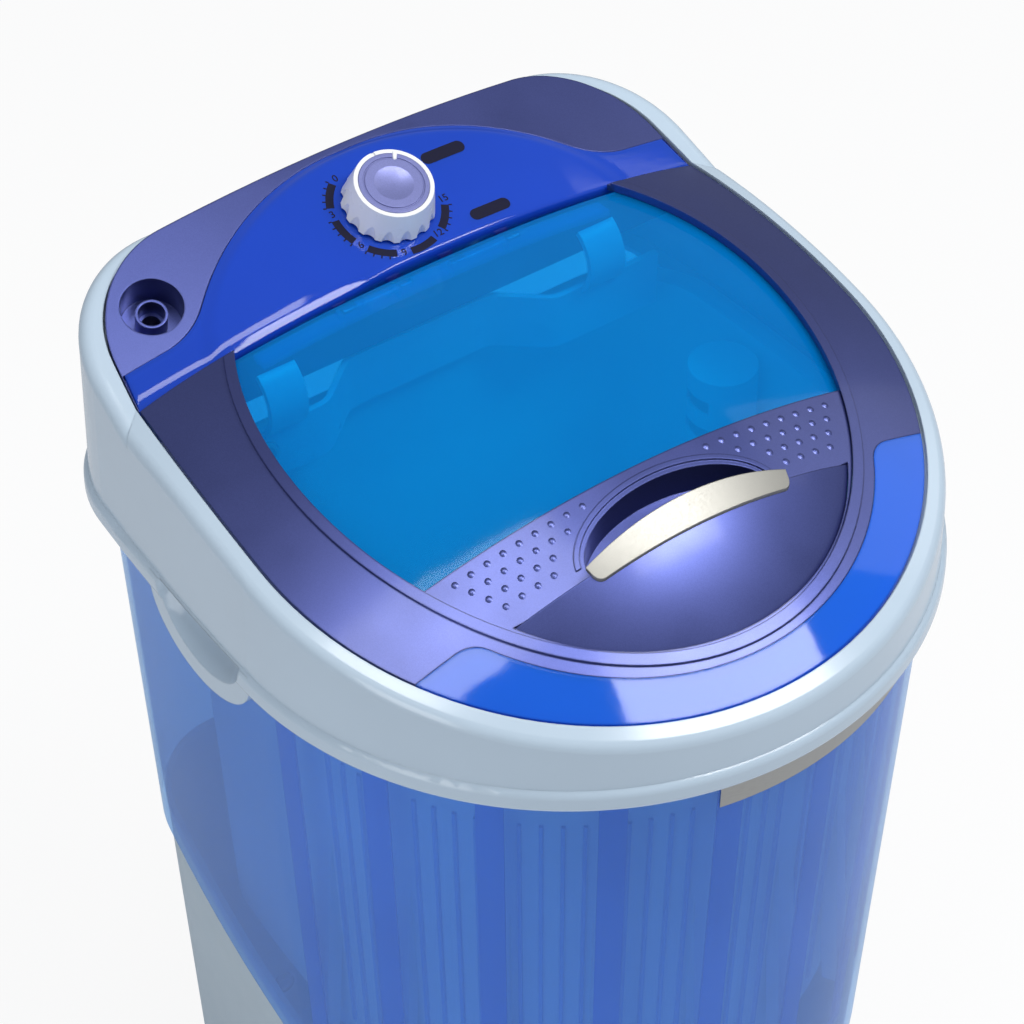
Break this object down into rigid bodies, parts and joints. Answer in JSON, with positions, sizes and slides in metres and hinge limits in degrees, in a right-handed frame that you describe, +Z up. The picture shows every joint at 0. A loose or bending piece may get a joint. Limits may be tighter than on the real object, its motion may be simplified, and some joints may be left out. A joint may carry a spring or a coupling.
{
  "type": "washing machine",
  "caption": "Small single-tub washing machine with a domed see-through lid, a sloping rear control panel with a timer knob, a translucent tapered shell and a white base.",
  "frame": {"origin": "floor level, under the middle of the machine", "axes": "+Z up, -Y towards the front of the machine, +X to the right of a person who faces its front"},
  "size_m": [0.347, 0.365, 0.5766],
  "materials": {
    "collar_white": "gloss",
    "base_white": "satin",
    "shell_blue": "translucent gloss",
    "panel_blue": "translucent gloss",
    "window_blue": "translucent gloss",
    "metallic_purple": "metallic paint on plastic",
    "warm_silver": "polished",
    "knob_white": "gloss",
    "knob_purple": "satin",
    "tub_white": "gloss",
    "inner_blue": "gloss",
    "pipe_white": "satin",
    "dark_rubber": "matte",
    "grey_rubber": "matte",
    "steel": "brushed",
    "zinc": "zinc plate",
    "motor_paint": "satin",
    "pulley_alloy": "cast",
    "timer_plastic": "matte"
  },
  "bodies": {
    "cabinet": {"lid_hinge_pins": "steel", "control_panel": "panel_blue", "rear_deck": "metallic_purple", "water_inlet": "metallic_purple", "filler_pipe": "pipe_white", "timer_body": "timer_plastic", "timer_screws": "steel", "top_collar": "collar_white", "outer_shell": "shell_blue", "base_housing": "base_white", "base_plate": "base_white", "base_screws": "steel", "feet": "grey_rubber", "inner_tub": "tub_white", "tub_screws": "steel", "rear_bridge": "inner_blue", "filter_housing": "tub_white", "bearing_housing": "pulley_alloy", "bearings": "steel", "shaft_seal": "dark_rubber", "drive_belt": "dark_rubber", "motor_bushes": "dark_rubber", "motor_bolts": "zinc", "motor_bracket": "zinc", "motor_housing": "motor_paint", "capacitor": "timer_plastic", "capacitor_clip": "zinc", "drain_valve": "pipe_white", "drain_pipe": "grey_rubber", "drain_outlet": "pipe_white", "cord_gland": "dark_rubber"},
    "lid": {"lid_frame": "metallic_purple", "lid_window": "window_blue", "lid_hinge_rail": "inner_blue", "lid_grip_panel": "metallic_purple", "lid_grip_dome": "metallic_purple", "lid_grip_strip": "warm_silver", "lid_front_accent": "shell_blue"},
    "knob": {"timer_knob": "knob_white", "knob_cap": "knob_purple", "timer_spindle": "steel"},
    "pulsator_unit": {"pulsator": "tub_white", "pulsator_screw": "steel", "pulsator_shaft": "steel", "pulsator_pulley": "pulley_alloy"},
    "motor_rotor": {"motor_pulley": "pulley_alloy", "motor_shaft": "steel"}
  },
  "joints": [
    {"name": "lid_hinge", "type": "hinge", "parent": "cabinet", "child": "lid", "pos_m": [0, 0.0923, 0.53582], "axis": [-1, 0, 0], "range_deg": [0, 88]},
    {"name": "timer_turn", "type": "hinge", "parent": "cabinet", "child": "knob", "pos_m": [0, 0.12675, 0.55417], "axis": [0, -0.342, 0.9397], "range_deg": [-300, 0]},
    {"name": "pulsator_turn", "type": "hinge", "parent": "cabinet", "child": "pulsator_unit", "pos_m": [0, -0.02, 0.131], "axis": [0, 0, 1], "continuous": true},
    {"name": "motor_turn", "type": "hinge", "parent": "cabinet", "child": "motor_rotor", "pos_m": [0, 0.082, 0.131], "axis": [0, 0, 1], "continuous": true}
  ],
  "couplings": [
    {"joint": "motor_turn", "follows": "pulsator_turn", "ratio": 3.5806}
  ]
}
